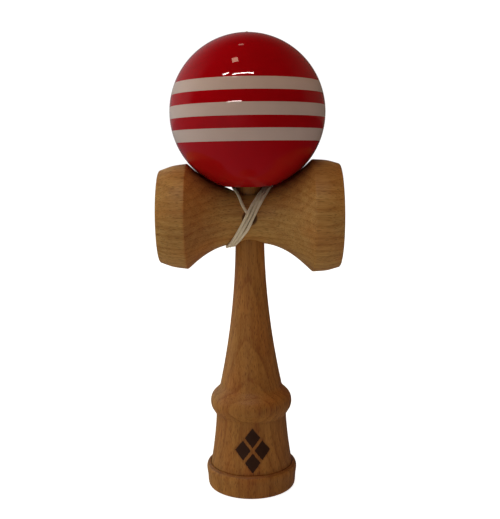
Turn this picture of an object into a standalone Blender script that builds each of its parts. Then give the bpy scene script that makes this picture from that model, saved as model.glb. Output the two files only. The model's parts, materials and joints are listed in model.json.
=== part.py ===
"""Kendama, the wooden cup-and-ball toy, with its ball on the spike and its string wound up.

Metres, +Z up. The origin is the centre of the base rim's flat. The big cup faces +X, the small cup
faces -X, and the string leaves the front, -Y. The ball turns about a line along +Z through its centre.
"""

import math

import bmesh
import bpy
import numpy as np
from mathutils import Matrix

# Clearances and mesh detail
GAP = 0.0003
SEGMENTS = 40
FINE_SEGMENTS = 16
MERGE = 1e-6

# Ball: a standard 60 mm ball with a bevelled bore, sitting half a millimetre to the left on the spike
BALL_RADIUS = 0.030
BALL_X = -0.0005
BALL_HEIGHT = 0.14945
OPENING_RADIUS = 0.0102
OPENING_BEVEL = 0.0030
BORE_RADIUS = 0.0089
BORE_TOP = 0.1690
BORE_SHOULDER = (0.0020, 0.0025, 0.0004)
LIP_RADIUS = 0.0028
LIP_CLEARANCE = 0.00017

# Cross piece with the two cups, turned about X
CROSS_HEIGHT = 0.10926
WAIST_RADIUS = 0.0105
CUP_FACE = 0.0352
BIG_CUP = {
    "ridge": 0.0248,
    "ridge_radius": 0.0220,
    "face_radius": 0.0204,
    "depth": 0.0095,
    "power": 2.5,
    "fullness": 0.0020,
}
SMALL_CUP = {
    "ridge": 0.0244,
    "ridge_radius": 0.0206,
    "face_radius": 0.0182,
    "depth": 0.0080,
    "power": 2.6,
    "fullness": 0.0008,
}
CUP_RIM_WIDTH = 0.0020
EDGE_ROUNDING = 0.0008
BARREL_BULGE = 0.0004
CROSS_BORE_BOTTOM = 0.0950
MOUTH_CHAMFER_RADIUS = 0.0062
MOUTH_CHAMFER_DEPTH = 0.0010
MOUTH_CLEARED = 0.0045

# Handle with the base cup below and the spike above, turned about Z
KEN_LENGTH = 0.1590
BASE_CUP_RADIUS = 0.0146
BASE_CUP_DEPTH = 0.0075
RIM_PROFILE = [
    (0.01705, 0.0),
    (0.01765, 0.0010),
    (0.01788, 0.0040),
    (0.01828, 0.0072),
    (0.0173, 0.0091),
]
RIM_CREASE = 0.0088
FOOT_TOP_RADIUS = 0.0141
FOOT_FLARE = 0.00235
FOOT_CURVE = 1.45
RING_FOOT = 0.0294
RING_PROFILE = [
    (0.01415, 0.0296),
    (0.0150, 0.0310),
    (0.0160, 0.0328),
    (0.0163, 0.0352),
    (0.0155, 0.0378),
    (0.0130, 0.0404),
    (0.0123, 0.0418),
]
TAPER_START = 0.0420
TAPER_LEAST_RADIUS = 0.00565
TAPER_LEAST_HEIGHT = 0.1040
TAPER_FLARE = 1.73
NECK_TOP = 0.0985
NECK_RADIUS = 0.0057
SPIKE_FOOT = 0.1200
SPIKE_RADIUS = 0.0052
SPIKE_TIP_RADIUS = 0.0019
SPIKE_CURVE = 1.35

# String and what is on it
STRING_RADIUS = 0.0006
STRING_HOLE_RADIUS = 0.0013
STRING_HOLE_BACK = 0.0040
STRING_MOUTH_START = 0.0080
STRING_MOUTH_RADIUS = 0.0030
STRING_MOUTH_CLEARED = 0.0130
CROSS_HOLE_RADIUS = 0.0010
POCKET_RADIUS = 0.0023
POCKET_FLOOR = 0.0016
POCKET_CLEARED = 0.0080
STRING_SPACING = 0.0034
STRING_OFFSET = 0.00095
EXIT_MIDDLE = 0.0035
EXIT_START = 0.0086
EXIT_BEND = 0.0026
EXIT_LEAN = math.radians(25.5)
TURNS = 3
TURN_PITCH = 0.0015
TURN_SQUEEZE = 0.13
TURN_REACH = 0.00785
TURN_SHAPE = 0.93
TURN_CENTRE = -0.00025
TURNS_START = -82
TURNS_END = 360 * (TURNS - 1) + 153
EXIT_CROSSED = -9
EXIT_RISE = 0.00145
SECOND_CROSSED = 351
SECOND_RISE = 0.0006
SLIT_AT = 740
SLIT = 0.00038
RISE_WIDTH = 16
CLIMB_START = 360 * (TURNS - 1) + 120
CLIMB_WIDTH = 35
CLIMB = 0.0017
RISER_LEAN = 0.0011
HOLE_MIDDLE = 0.1725
SPLIT_Y = 0.0185
BEAD_RADIUS = 0.0035
BEAD_HOLE_RADIUS = 0.00095
BEAD_BOTTOM = 0.1635
BEAD_TOP = 0.1685
BEAD_FACE_ANGLE = 66
END_KNOT_HEIGHT = 0.1616
END_KNOT_RADIUS = 0.0014
ANCHOR_KNOT_Y = 0.00375
ANCHOR_KNOT_RADIUS = 0.0017


def material(name, colour, roughness):
    """A Principled material for a piece."""
    made = bpy.data.materials.new(name)
    made.use_nodes = True
    shader = made.node_tree.nodes["Principled BSDF"]
    shader.inputs["Base Color"].default_value = (*colour, 1.0)
    shader.inputs["Roughness"].default_value = roughness
    shader.inputs["Metallic"].default_value = 0.0
    return made


def add_object(name, data, finish=None):
    """An object in the scene, holding this mesh or curve."""
    made = bpy.data.objects.new(name, data)
    bpy.context.scene.collection.objects.link(made)
    if finish:
        data.materials.append(finish)
    return made


def turned(name, outline, finish=None, segments=SEGMENTS, ring=False):
    """A solid turned about Z from (radius, height) points. A ring's outline is a loop off the axis."""
    bm = bmesh.new()
    corners = [bm.verts.new((radius, 0.0, height)) for radius, height in outline]
    edges = [bm.edges.new(pair) for pair in zip(corners, corners[1:])]
    if ring:
        edges.append(bm.edges.new((corners[-1], corners[0])))
    bmesh.ops.spin(
        bm, geom=corners + edges, axis=(0, 0, 1), angle=2 * math.pi, steps=segments, use_merge=True
    )
    bmesh.ops.remove_doubles(bm, verts=bm.verts, dist=MERGE)
    bmesh.ops.recalc_face_normals(bm, faces=bm.faces)
    mesh = bpy.data.meshes.new(name)
    bm.to_mesh(mesh)
    bm.free()
    mesh.shade_smooth()
    mesh.set_sharp_from_angle(angle=math.radians(35))
    return add_object(name, mesh, finish)


def cut(piece, cutter):
    """Takes the cutter's shape out of the piece, and hides the cutter."""
    cutter.hide_render = True
    cutter.display_type = "WIRE"
    boolean = piece.modifiers.new(cutter.name, "BOOLEAN")
    boolean.operation = "DIFFERENCE"
    boolean.solver = "EXACT"
    boolean.object = cutter


def smooth_through(points, steps=8):
    """A Catmull-Rom curve through the points, with this many steps from each to the next."""
    route = np.array(points, float)
    route = np.vstack([2 * route[0] - route[1], route, 2 * route[-1] - route[-2]])
    curve = []
    for a, b, c, d in zip(route, route[1:], route[2:], route[3:]):
        for t in np.arange(steps) / steps:
            square = (2 * a - 5 * b + 4 * c - d) * t**2
            cube = (3 * b - a - 3 * c + d) * t**3
            curve.append(0.5 * (2 * b + (c - a) * t + square + cube))
    return np.array([*curve, route[-2]])


def arc(centre, radius, start, end, steps):
    """Points of an arc in an outline's plane, with angles in degrees from the outline's first axis."""
    angles = np.radians(np.linspace(start, end, steps + 1))
    return [(centre[0] + radius * math.cos(a), centre[1] + radius * math.sin(a)) for a in angles]


def dish(mouth_radius, depth, steps=5):
    """Radius and depth below the mouth of a round dish, from its deepest point to its mouth."""
    curvature = (mouth_radius**2 + depth**2) / (2 * depth)
    angles = np.linspace(0, math.asin(mouth_radius / curvature), steps + 1)
    return [(curvature * math.sin(a), depth - curvature * (1 - math.cos(a))) for a in angles]


def foot_radius(height):
    """The handle's radius between the rim's crease and the ring."""
    share = (RING_FOOT - height) / (RING_FOOT - RIM_CREASE)
    return FOOT_TOP_RADIUS + FOOT_FLARE * max(share, 0.0) ** FOOT_CURVE


def taper_radius(height):
    """The handle's radius from the ring up to the cross piece."""
    return TAPER_LEAST_RADIUS + TAPER_FLARE * (TAPER_LEAST_HEIGHT - height) ** 2


def spike_radius(height):
    """The spike's radius from the cross piece up to its round tip."""
    share = (height - SPIKE_FOOT) / (KEN_LENGTH - SPIKE_TIP_RADIUS - SPIKE_FOOT)
    return SPIKE_TIP_RADIUS + (SPIKE_RADIUS - SPIKE_TIP_RADIUS) * (1 - share**SPIKE_CURVE)


def ken_outline():
    """From the base cup's deepest point, round the rim and the ring, to the spike's tip."""
    rim = smooth_through(RIM_PROFILE, steps=2)
    foot = [(foot_radius(z), z) for z in np.linspace(RIM_CREASE, RING_FOOT, 6)]
    ring = smooth_through(RING_PROFILE, steps=2)
    taper = [(taper_radius(z), z) for z in np.linspace(TAPER_START, NECK_TOP, 8)]
    spike = [(spike_radius(z), z) for z in np.linspace(SPIKE_FOOT, KEN_LENGTH - SPIKE_TIP_RADIUS, 6)]
    tip = arc((0, KEN_LENGTH - SPIKE_TIP_RADIUS), SPIKE_TIP_RADIUS, 22.5, 67.5, 2)
    return [
        *dish(BASE_CUP_RADIUS, BASE_CUP_DEPTH),
        *rim,
        *foot,
        *ring[1:],
        *taper,
        *spike,
        *tip,
        (0.0, KEN_LENGTH),
    ]


def flank_radius(x, cup):
    """The cross piece's radius at a distance x from its middle, up to the cup's rounded ridge."""
    share = x / cup["ridge"]
    rise = (cup["ridge_radius"] - WAIST_RADIUS) * share ** cup["power"]
    return WAIST_RADIUS + rise + cup["fullness"] * share**3 * math.sqrt(1 - share)


def cup_outline(cup):
    """Radius and distance from the middle, from the cup's deepest point, over its rim, to the waist."""
    face = cup["face_radius"]
    hollow = [(r, CUP_FACE - depth) for r, depth in dish(face - CUP_RIM_WIDTH, cup["depth"])]
    edge = arc((face - EDGE_ROUNDING, CUP_FACE - EDGE_ROUNDING), EDGE_ROUNDING, 90, 12, 3)
    middle = (0.5 * (face + cup["ridge_radius"]) + BARREL_BULGE, 0.5 * (CUP_FACE + cup["ridge"]))
    barrel = smooth_through([edge[-1], middle, (cup["ridge_radius"], cup["ridge"])], steps=2)
    flank = [(flank_radius(x, cup), x) for x in np.linspace(cup["ridge"], 0, 10)[1:-1]]
    return [*hollow, *edge, *barrel[1:], *flank]


def sarado_outline():
    """From the small cup's deepest point to the big cup's, with the big cup towards +Z."""
    small = [(radius, -x) for radius, x in cup_outline(SMALL_CUP)]
    return [*small, (WAIST_RADIUS, 0.0), *reversed(cup_outline(BIG_CUP))]


def tama_outline():
    """A closed loop: the ball's outside from its string hole down to its opening, and back up the bore."""
    lip_centre = LIP_RADIUS + STRING_RADIUS + GAP + LIP_CLEARANCE
    on_ball = math.sqrt(BALL_RADIUS**2 - lip_centre**2)
    lip = arc((lip_centre, on_ball - LIP_RADIUS), LIP_RADIUS, 180, 95, 4)
    start = math.degrees(math.acos((lip_centre + GAP) / BALL_RADIUS))
    end = -math.degrees(math.acos(OPENING_RADIUS / BALL_RADIUS))
    outside = arc((0, 0), BALL_RADIUS, start, end, 24)
    bevel_top = outside[-1][1] + OPENING_BEVEL
    top = BORE_TOP - BALL_HEIGHT
    narrower, below, under = BORE_SHOULDER
    bore = [(BORE_RADIUS, bevel_top), (BORE_RADIUS, 0.0), (BORE_RADIUS, top - below)]
    return [*lip, *outside, *bore, (BORE_RADIUS - narrower, top - under), (lip[0][0], top)]


def bead_outline():
    """A closed loop: a round bead with a straight hole."""
    middle = 0.5 * (BEAD_TOP + BEAD_BOTTOM)
    half = 0.5 * (BEAD_TOP - BEAD_BOTTOM)
    bulge = BEAD_RADIUS - BEAD_HOLE_RADIUS
    angles = np.radians(np.linspace(-BEAD_FACE_ANGLE, BEAD_FACE_ANGLE, 9))
    side = [(BEAD_HOLE_RADIUS + bulge * math.cos(a), middle + half * math.sin(a)) for a in angles]
    return [(BEAD_HOLE_RADIUS, BEAD_BOTTOM), *side, (BEAD_HOLE_RADIUS, BEAD_TOP)]


def knot_outline(radius):
    """A plain round knot about the origin."""
    return [(0.0, -radius), *arc((0, 0), radius, -60, 60, 4), (0.0, radius)]


def along_front(piece):
    """Turns a piece made about Z so that its +Z end faces the front, -Y, at the string hole's height."""
    piece.rotation_euler = (math.pi / 2, 0, 0)
    piece.location = (0, 0, CROSS_HEIGHT)
    return piece


def waist_surface(x):
    """The cross piece's radius at x, on either side of its middle."""
    return flank_radius(abs(x), BIG_CUP if x > 0 else SMALL_CUP)


def on_waist(x, angle, lift=0.0):
    """The string's centre on the cross piece: angle is 0 at the front and 90 degrees on top."""
    radius = waist_surface(x) + STRING_OFFSET + lift
    return (x, -radius * math.cos(angle), CROSS_HEIGHT + radius * math.sin(angle))


def bump(degrees):
    """1 at 0 degrees, falling smoothly to 0 on both sides."""
    return math.exp(-((degrees / RISE_WIDTH) ** 2))


def winding_point(turned_by):
    """The string's centre in its oblique turns round the waist, by how far it has turned from the front.

    It runs from the top right of the spike across the front to the lower left of the neck. The strand
    that crosses the string's own exit rises over it, the third strand leaves a narrow slit beside the
    second below the exit, and the last strand climbs over the others behind the waist. The strands lie
    closer together on top and underneath, where they run straight back.
    """
    degrees = math.degrees(turned_by)
    slant = math.asin(TURN_SHAPE * math.sin(-turned_by)) / math.asin(TURN_SHAPE)
    pitch = TURN_PITCH * (1 - TURN_SQUEEZE * math.sin(turned_by) ** 2)
    slit = SLIT * bump(degrees - SLIT_AT)
    x = TURN_CENTRE + TURN_REACH * slant + pitch * (degrees / 360 - 1) + slit
    over_exit = EXIT_RISE * bump(degrees - EXIT_CROSSED)
    over_second = SECOND_RISE * bump(degrees - SECOND_CROSSED)
    climb = CLIMB * min(max((degrees - CLIMB_START) / CLIMB_WIDTH, 0.0), 1.0)
    return on_waist(x, -turned_by, over_exit + over_second + climb)


def round_the_spike():
    """The string's centre from its exit bend, up the front and round behind the spike, as chosen points."""
    spots = [
        (-0.0026, -0.0101),
        (-0.0044, -0.0069),
        (-0.0061, -0.0028),
        (-0.0063, 0.0006),
        (-0.0047, 0.0045),
        (0.0, 0.0066),
        (0.0044, 0.0043),
        (0.0059, 0.0009),
    ]
    route = []
    for x, y in spots:
        radius = waist_surface(x) + STRING_OFFSET
        route.append((x, y, CROSS_HEIGHT + math.sqrt(radius**2 - y**2)))
    return route


def exit_bend():
    """The string's centre through the handle, out of the front hole and up to the left."""
    start = POCKET_FLOOR + GAP / 3
    route = [(0, y, CROSS_HEIGHT) for y in (start, -EXIT_MIDDLE, -EXIT_START)]
    for turn in np.radians([30, 60, 90]):
        rise = EXIT_BEND * (1 - math.cos(turn))
        y = -EXIT_START - EXIT_BEND * math.sin(turn)
        route.append((-rise * math.sin(EXIT_LEAN), y, CROSS_HEIGHT + rise * math.cos(EXIT_LEAN)))
    return route


def behind_the_ball():
    """The string's centre from the waist, up behind the ball and down into its string hole."""
    clear = BALL_RADIUS + STRING_OFFSET
    over = WAIST_RADIUS + STRING_OFFSET + CLIMB
    tangent = math.asin((clear - over) / (BALL_HEIGHT - CROSS_HEIGHT))
    low = (over * math.cos(tangent), CROSS_HEIGHT - over * math.sin(tangent))
    high = (clear * math.cos(tangent), BALL_HEIGHT - clear * math.sin(tangent))
    route = []
    for share in (0.12, 0.3, 0.5, 0.7, 0.88):
        x = -RISER_LEAN + (BALL_X + RISER_LEAN) * share
        y = low[0] + share * (high[0] - low[0])
        z = low[1] + share * (high[1] - low[1])
        route.append((x, y, z))
    for angle in np.linspace(tangent, math.radians(-81), 12):
        route.append((BALL_X, clear * math.cos(angle), BALL_HEIGHT - clear * math.sin(angle)))
    bend = LIP_RADIUS + STRING_RADIUS + GAP
    centre_y = bend + LIP_CLEARANCE
    centre_z = BALL_HEIGHT + math.sqrt(BALL_RADIUS**2 - centre_y**2) - LIP_RADIUS
    for angle in np.radians([112, 135, 158, 180]):
        route.append((BALL_X, centre_y + bend * math.cos(angle), centre_z + bend * math.sin(angle)))
    knot_top = END_KNOT_HEIGHT + END_KNOT_RADIUS + GAP
    return [*route, *((BALL_X, 0, z) for z in (HOLE_MIDDLE, BORE_TOP, knot_top))]


def string_route():
    """The whole string's centre, from the anchor knot to the knot under the bead."""
    turns = [winding_point(a) for a in np.radians(np.arange(TURNS_START, TURNS_END, 15))]
    return smooth_through([*exit_bend(), *round_the_spike(), *turns, *behind_the_ball()])


def evenly_spaced(curve, spacing):
    """Points a fixed distance apart along a fine curve, with both its ends."""
    lengths = np.concatenate([[0], np.cumsum(np.linalg.norm(np.diff(curve, axis=0), axis=1))])
    count = round(lengths[-1] / spacing)
    wanted = np.linspace(0, lengths[-1], count + 1)
    return np.column_stack([np.interp(wanted, lengths, curve[:, axis]) for axis in range(3)])


def string_piece(name, points, finish):
    """A tube of the string's thickness along these points."""
    curve = bpy.data.curves.new(name, "CURVE")
    curve.dimensions = "3D"
    curve.bevel_depth = STRING_RADIUS
    curve.bevel_resolution = 2
    curve.use_fill_caps = True
    spline = curve.splines.new("POLY")
    spline.points.add(len(points) - 1)
    for point, place in zip(spline.points, points):
        point.co = (*place, 1.0)
    return add_object(name, curve, finish)


def make_ken(finish):
    """The handle, turned in one piece with its spike, and its cross hole and pocket for the string."""
    ken = turned("ken", ken_outline(), finish)
    hole = [
        (0.0, -POCKET_CLEARED),
        (POCKET_RADIUS, -POCKET_CLEARED),
        (POCKET_RADIUS, -POCKET_FLOOR),
        (CROSS_HOLE_RADIUS, -POCKET_FLOOR),
        (CROSS_HOLE_RADIUS, POCKET_CLEARED),
        (0.0, POCKET_CLEARED),
    ]
    cut(ken, along_front(turned("ken_string_hole", hole, segments=FINE_SEGMENTS)))
    return ken


def make_sarado(finish):
    """The cross piece with both cups, its tapered bore with a chamfered mouth, and the string's hole."""
    sarado = turned("sarado", sarado_outline(), finish)
    sarado.rotation_euler = (0, math.pi / 2, 0)
    sarado.location = (0, 0, CROSS_HEIGHT)
    bore_bottom = NECK_RADIUS + GAP
    bore_top = SPIKE_RADIUS + GAP
    chamfer_height = CROSS_HEIGHT + math.sqrt(WAIST_RADIUS**2 - MOUTH_CHAMFER_RADIUS**2)
    bore = [
        (0.0, CROSS_BORE_BOTTOM),
        (bore_bottom, CROSS_BORE_BOTTOM),
        (bore_bottom, NECK_TOP),
        (bore_top, chamfer_height - MOUTH_CHAMFER_DEPTH),
        (MOUTH_CHAMFER_RADIUS, chamfer_height),
        (MOUTH_CHAMFER_RADIUS + MOUTH_CLEARED, chamfer_height + MOUTH_CLEARED),
        (0.0, chamfer_height + MOUTH_CLEARED),
    ]
    cut(sarado, turned("sarado_bore", bore, segments=FINE_SEGMENTS * 2))
    hole = [
        (0.0, STRING_HOLE_BACK),
        (STRING_HOLE_RADIUS, STRING_HOLE_BACK),
        (STRING_HOLE_RADIUS, STRING_MOUTH_START),
        (STRING_MOUTH_RADIUS, WAIST_RADIUS),
        (STRING_MOUTH_RADIUS, STRING_MOUTH_CLEARED),
        (0.0, STRING_MOUTH_CLEARED),
    ]
    cut(sarado, along_front(turned("sarado_string_hole", hole, segments=FINE_SEGMENTS)))
    return sarado


def make_tama(finish):
    """The ball, with its origin at its centre, on the axis it spins about."""
    tama = turned("tama", tama_outline(), finish, ring=True)
    tama.location = (BALL_X, 0, BALL_HEIGHT)
    return tama


def make_string(finish, bead_finish):
    """The string in its fixed and its lifting stretch, the bead on it and its two knots."""
    route = string_route()
    behind = next(i for i, point in enumerate(route) if point[1] > SPLIT_Y)
    fixed = string_piece("string_wound", evenly_spaced(route[: behind + 1], STRING_SPACING), finish)
    direction = route[behind + 1] - route[behind]
    start = route[behind] + direction * GAP / np.linalg.norm(direction)
    rest = np.vstack([start, route[behind + 1 :]])
    lifting = string_piece("string_upper", evenly_spaced(rest, STRING_SPACING), finish)
    bead = turned("bead", bead_outline(), bead_finish, segments=FINE_SEGMENTS, ring=True)
    bead.location = (BALL_X, 0, 0)
    end_knot = turned("end_knot", knot_outline(END_KNOT_RADIUS), finish, segments=FINE_SEGMENTS)
    end_knot.location = (BALL_X, 0, END_KNOT_HEIGHT)
    anchor = turned("anchor_knot", knot_outline(ANCHOR_KNOT_RADIUS), finish, segments=FINE_SEGMENTS)
    anchor.location = (0, ANCHOR_KNOT_Y, CROSS_HEIGHT)
    return fixed, anchor, lifting, bead, end_knot


def group(name, place, pieces):
    """An empty at this place that carries these pieces, each left where it is."""
    holder = add_object(name, None)
    holder.location = place
    for piece in pieces:
        piece.parent = holder
        piece.matrix_parent_inverse = Matrix.Translation(place).inverted()


def main():
    """Builds the whole toy, with its moving pieces carried by an empty."""
    for old in list(bpy.data.objects):
        bpy.data.objects.remove(old)
    ken_wood = material("ken_wood", (0.42, 0.22, 0.09), 0.45)
    sarado_wood = material("sarado_wood", (0.44, 0.24, 0.10), 0.45)
    red_lacquer = material("red_lacquer", (0.42, 0.01, 0.015), 0.12)
    cotton = material("cotton", (0.62, 0.54, 0.42), 0.9)
    bead_wood = material("bead_wood", (0.55, 0.36, 0.18), 0.5)
    ken = make_ken(ken_wood)
    sarado = make_sarado(sarado_wood)
    tama = make_tama(red_lacquer)
    wound, anchor, lifting, bead, end_knot = make_string(cotton, bead_wood)
    group("held_in_the_hand", (0, 0, 0), [ken, sarado, wound, anchor])
    group("lifts_off", (BALL_X, 0, BALL_HEIGHT), [tama, lifting, bead, end_knot])


main()
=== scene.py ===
"""The looks of the kendama: turned beech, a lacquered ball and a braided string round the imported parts.

Metres, +Z up, in the part's own frame: the big cup faces +X and the string's hole faces the front, -Y.
"""

import json
import math

import bmesh
import bpy
import numpy as np
from mathutils import Matrix, Vector


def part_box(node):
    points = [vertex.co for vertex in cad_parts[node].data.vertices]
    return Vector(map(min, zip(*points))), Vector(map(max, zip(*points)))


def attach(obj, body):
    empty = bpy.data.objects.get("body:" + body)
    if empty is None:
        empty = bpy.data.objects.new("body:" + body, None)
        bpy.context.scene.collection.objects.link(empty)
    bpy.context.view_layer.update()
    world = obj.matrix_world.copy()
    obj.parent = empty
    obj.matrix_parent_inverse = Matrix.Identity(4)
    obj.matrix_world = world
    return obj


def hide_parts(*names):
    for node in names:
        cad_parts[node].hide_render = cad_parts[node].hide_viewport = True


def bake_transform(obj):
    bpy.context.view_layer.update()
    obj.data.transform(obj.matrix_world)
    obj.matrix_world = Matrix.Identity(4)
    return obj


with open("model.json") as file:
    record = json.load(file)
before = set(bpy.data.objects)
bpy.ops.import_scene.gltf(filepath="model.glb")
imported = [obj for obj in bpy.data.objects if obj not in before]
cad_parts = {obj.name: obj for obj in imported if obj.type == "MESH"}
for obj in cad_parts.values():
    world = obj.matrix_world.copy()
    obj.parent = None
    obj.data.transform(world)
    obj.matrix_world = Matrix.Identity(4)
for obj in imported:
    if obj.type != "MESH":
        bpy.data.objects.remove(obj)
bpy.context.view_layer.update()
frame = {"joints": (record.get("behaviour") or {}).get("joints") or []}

MM = 0.001

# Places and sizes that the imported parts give
BALL_AXIS = Vector(next(j["pos_m"] for j in frame["joints"] if j["name"] == "tama_spin"))
BALL_RADIUS = (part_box("tama")[1].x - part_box("tama")[0].x) / 2
KEN_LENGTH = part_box("ken")[1].z
CROSS_HEIGHT = (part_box("sarado")[0].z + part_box("sarado")[1].z) / 2
CUP_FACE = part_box("sarado")[1].x
BEAD_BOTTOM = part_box("bead")[0].z
BEAD_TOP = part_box("bead")[1].z
END_KNOT_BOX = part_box("end_knot")
ANCHOR_KNOT_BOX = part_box("anchor_knot")

# Mesh detail
SEGMENTS = 192
FINE_SEGMENTS = 64
MERGE = 1e-6

# Ball: it rests on the cross piece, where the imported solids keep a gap
GAP = 0.0003
BALL_CENTRE = BALL_AXIS - Vector((0, 0, GAP))
OPENING_RADIUS = 0.0102
OPENING_BEVEL = 0.0030
OPENING_EDGE = 0.0002
OPENING_EDGE_STEPS = ((0.00005, -0.00002), (-0.00015, 0.0001))
BORE_RADIUS = 0.0089
BORE_TOP = 0.1690
BORE_SHOULDER = (0.0020, 0.0025, 0.0004)
LIP_RADIUS = 0.0028
LIP_CLEARANCE = 0.00017
STRIPE_HALF = 0.00230
OUTER_STRIPE = (0.00665, 0.01115)
STRIPE_TILT = math.radians(0.38)

# Cross piece
WAIST_RADIUS = 0.0105
BIG_CUP = {
    "ridge": 0.0248,
    "ridge_radius": 0.0220,
    "face_radius": 0.0204,
    "depth": 0.0095,
    "power": 2.5,
    "fullness": 0.0029,
}
SMALL_CUP = {
    "ridge": 0.0244,
    "ridge_radius": 0.0206,
    "face_radius": 0.0182,
    "depth": 0.0080,
    "power": 2.6,
    "fullness": 0.0019,
}
CUP_RIM_WIDTH = 0.0020
CUP_MOUTH_ROUNDING = 0.0004
EDGE_ROUNDING = 0.0008
BARREL_BULGE = 0.0004
CROSS_BORE_BOTTOM = 0.0950
MOUTH_CHAMFER_RADIUS = 0.0062
MOUTH_CHAMFER_DEPTH = 0.0010
MOUTH_CLEARED = 0.0045

# Handle
BASE_CUP_RADIUS = 0.0146
BASE_CUP_DEPTH = 0.0075
BASE_EDGE_ROUNDING = 0.0005
RIM_PROFILE = [
    (0.01705, 0.0),
    (0.01742, 0.00030),
    (0.01765, 0.0010),
    (0.01778, 0.0022),
    (0.01788, 0.0040),
    (0.01812, 0.0058),
    (0.01826, 0.0070),
    (0.01816, 0.0080),
    (0.01784, 0.0087),
    (0.01736, 0.0091),
    (0.01690, 0.0092),
    (0.01655, 0.0090),
]
RIM_CREASE = 0.0088
FOOT_TOP_RADIUS = 0.0141
FOOT_FLARE = 0.00235
FOOT_CURVE = 1.45
RING_FOOT = 0.0294
RING_PROFILE = [
    (0.01415, 0.0296),
    (0.0150, 0.0310),
    (0.0160, 0.0328),
    (0.0163, 0.0352),
    (0.0155, 0.0378),
    (0.0130, 0.0404),
    (0.0123, 0.0418),
]
TAPER_START = 0.0420
TAPER_LEAST_RADIUS = 0.00565
TAPER_LEAST_HEIGHT = 0.1040
TAPER_FLARE = 1.73
NECK_TOP = 0.0985
NECK_RADIUS = 0.0057
SPIKE_FOOT = 0.1200
SPIKE_RADIUS = 0.0052
SPIKE_TIP_RADIUS = 0.0019
SPIKE_CURVE = 1.35

# Burnt mark on the handle's foot: a lozenge of four small lozenges
MARK_CENTRE = (0.0004, 0.0188)
MARK_HALF = (0.0070, 0.0090)
MARK_GAP = 0.10
MARK_DEPTH = 0.00008
MARK_SLOPE = 0.06
MARK_LEAST_RADIUS = 0.0130

# String
STRING_RADIUS = 0.0006
STRING_HOLE_RADIUS = 0.0013
STRING_HOLE_BACK = 0.0040
STRING_MOUTH_RADIUS = 0.0030
STRING_MOUTH_START = 0.0078
STRING_MOUTH_BEND = 0.0085
STRING_MOUTH_ROUNDING = 0.0022
STRING_MOUTH_CLEARED = 0.0130
CROSS_HOLE_RADIUS = 0.0010
POCKET_RADIUS = 0.0023
POCKET_FLOOR = 0.0016
POCKET_CLEARED = 0.0080
STRING_OFFSET = 0.00068
EXIT_MIDDLE = 0.0035
EXIT_START = 0.0086
EXIT_BEND = 0.0026
EXIT_LEAN = math.radians(25.5)
TURNS = 3
TURN_PITCH = 0.00137
TURN_SQUEEZE = 0.13
TURN_REACH = 0.00785
TURN_SHAPE = 0.93
TURN_CENTRE = -0.00025
TURNS_START = -82
TURNS_END = 360 * (TURNS - 1) + 153
EXIT_CROSSED = -9
EXIT_RISE = 0.00145
SECOND_CROSSED = 351
SECOND_RISE = 0.0006
SLIT_AT = 740
SLIT = 0.00038
RISE_WIDTH = 16
CLIMB_START = 360 * (TURNS - 1) + 120
CLIMB_WIDTH = 35
CLIMB = 0.0017
RISER_LEAN = 0.0011
HOLE_MIDDLE = 0.1725
RING_SPACING = 0.00014
STRING_SIDES = 16
BRAID_PITCH = 0.0013
BRAID_DEPTH = 0.00007
KNOT_POINTS = 241
KNOT_STRAND = 0.42
KNOT_RISE = 1.45
BEAD_RADIUS = 0.0035
BEAD_HOLE_RADIUS = 0.00095

# Camera, at the height of the ball's lower half
CAMERA_PLACE = (0.0, -0.3002, 0.13286)
CAMERA_DOWN = 0.1352
CAMERA_ROLL = 0.0085
CAMERA_LENS = 53.06
CAMERA_SENSOR = 36.0

# Beech: lengths in millimetres, and noise scales per millimetre across, across and along the grain
RING_WIDTH = 2.6
RING_WANDER = 3.2
RING_SHARPNESS = 3.0
RING_LATE_END = 0.88
RING_CONTRAST = 0.42
WANDER_SCALE = (0.05, 0.05, 0.012)
FIBRE_SCALE = (2.6, 2.6, 0.10)
FIBRE_RANGE = (0.31, 0.69)
FIBRE_SHARE = 0.32
STREAK_SCALE = (0.50, 0.50, 0.022)
STREAK_RANGE = (0.32, 0.68)
STREAK_SHARE = 0.30
PATCH_SCALE = (0.13, 0.13, 0.04)
PATCH_SHARE = 0.30
HUE_SCALE = (0.09, 0.09, 0.03)
HUE_SHIFT = (57.0, 23.0, 11.0)
HUE_RANGE = (0.40, 0.68)
SEED_SHIFT = (13.7, 7.9, 31.0)
FLECK_LAYERS = (
    {"width": 0.70, "length": 5.4, "reach": 0.30, "shift": 0.0},
    {"width": 0.56, "length": 4.2, "reach": 0.31, "shift": 41.0},
    {"width": 0.46, "length": 3.0, "reach": 0.32, "shift": 83.0},
)
FLECK_CORE = 0.45
FLECK_STRENGTH = (0.1, 0.75)
FLECK_SHARE = 0.56
FLECK_DARKNESS = 0.36
REDDISH = (1.0, 0.87, 0.79)
WORN_SCALE = (0.35, 0.35, 0.35)
WOOD_ROUGHNESS = 0.44
BARE_ROUGHNESS = 0.6
FIBRE_ROUGHNESS = 0.16
FLECK_ROUGHNESS = 0.12
WOOD_SPECULAR = 0.2
WOOD_RELIEF = 0.00006
FIBRE_HEIGHT = 0.7
FLECK_HEIGHT = -0.9
WORN_HEIGHT = 0.5

# The handle's wood, with painted shade in the rim's crease, and darker in the burnt mark
KEN_LIGHT = (0.56, 0.268, 0.070)
KEN_DARK = (0.28, 0.098, 0.020)
KEN_PITH = (4.0, 38.0)
CREASE_SHADE_ABOVE = 0.15
CREASE_SHADE_EDGE = (0.50, 0.1)
CREASE_SHADE_SHARE = 0.45
CREASE_SHADE_COLOUR = (0.12, 0.035, 0.012)
MARK_FRONT = (-3.0, -6.0)
MARK_RAGGED = 0.10
MARK_EDGE = (1.0, 0.95)
MARK_GAP_EDGE = (MARK_GAP - 0.02, MARK_GAP + 0.03)
MARK_SHARE = 0.96
MARK_COLOUR = (0.035, 0.012, 0.007)
HALO_EDGE = (1.12, 0.98)
HALO_SHARE = 0.25
HALO_COLOUR = (0.16, 0.05, 0.018)
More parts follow.
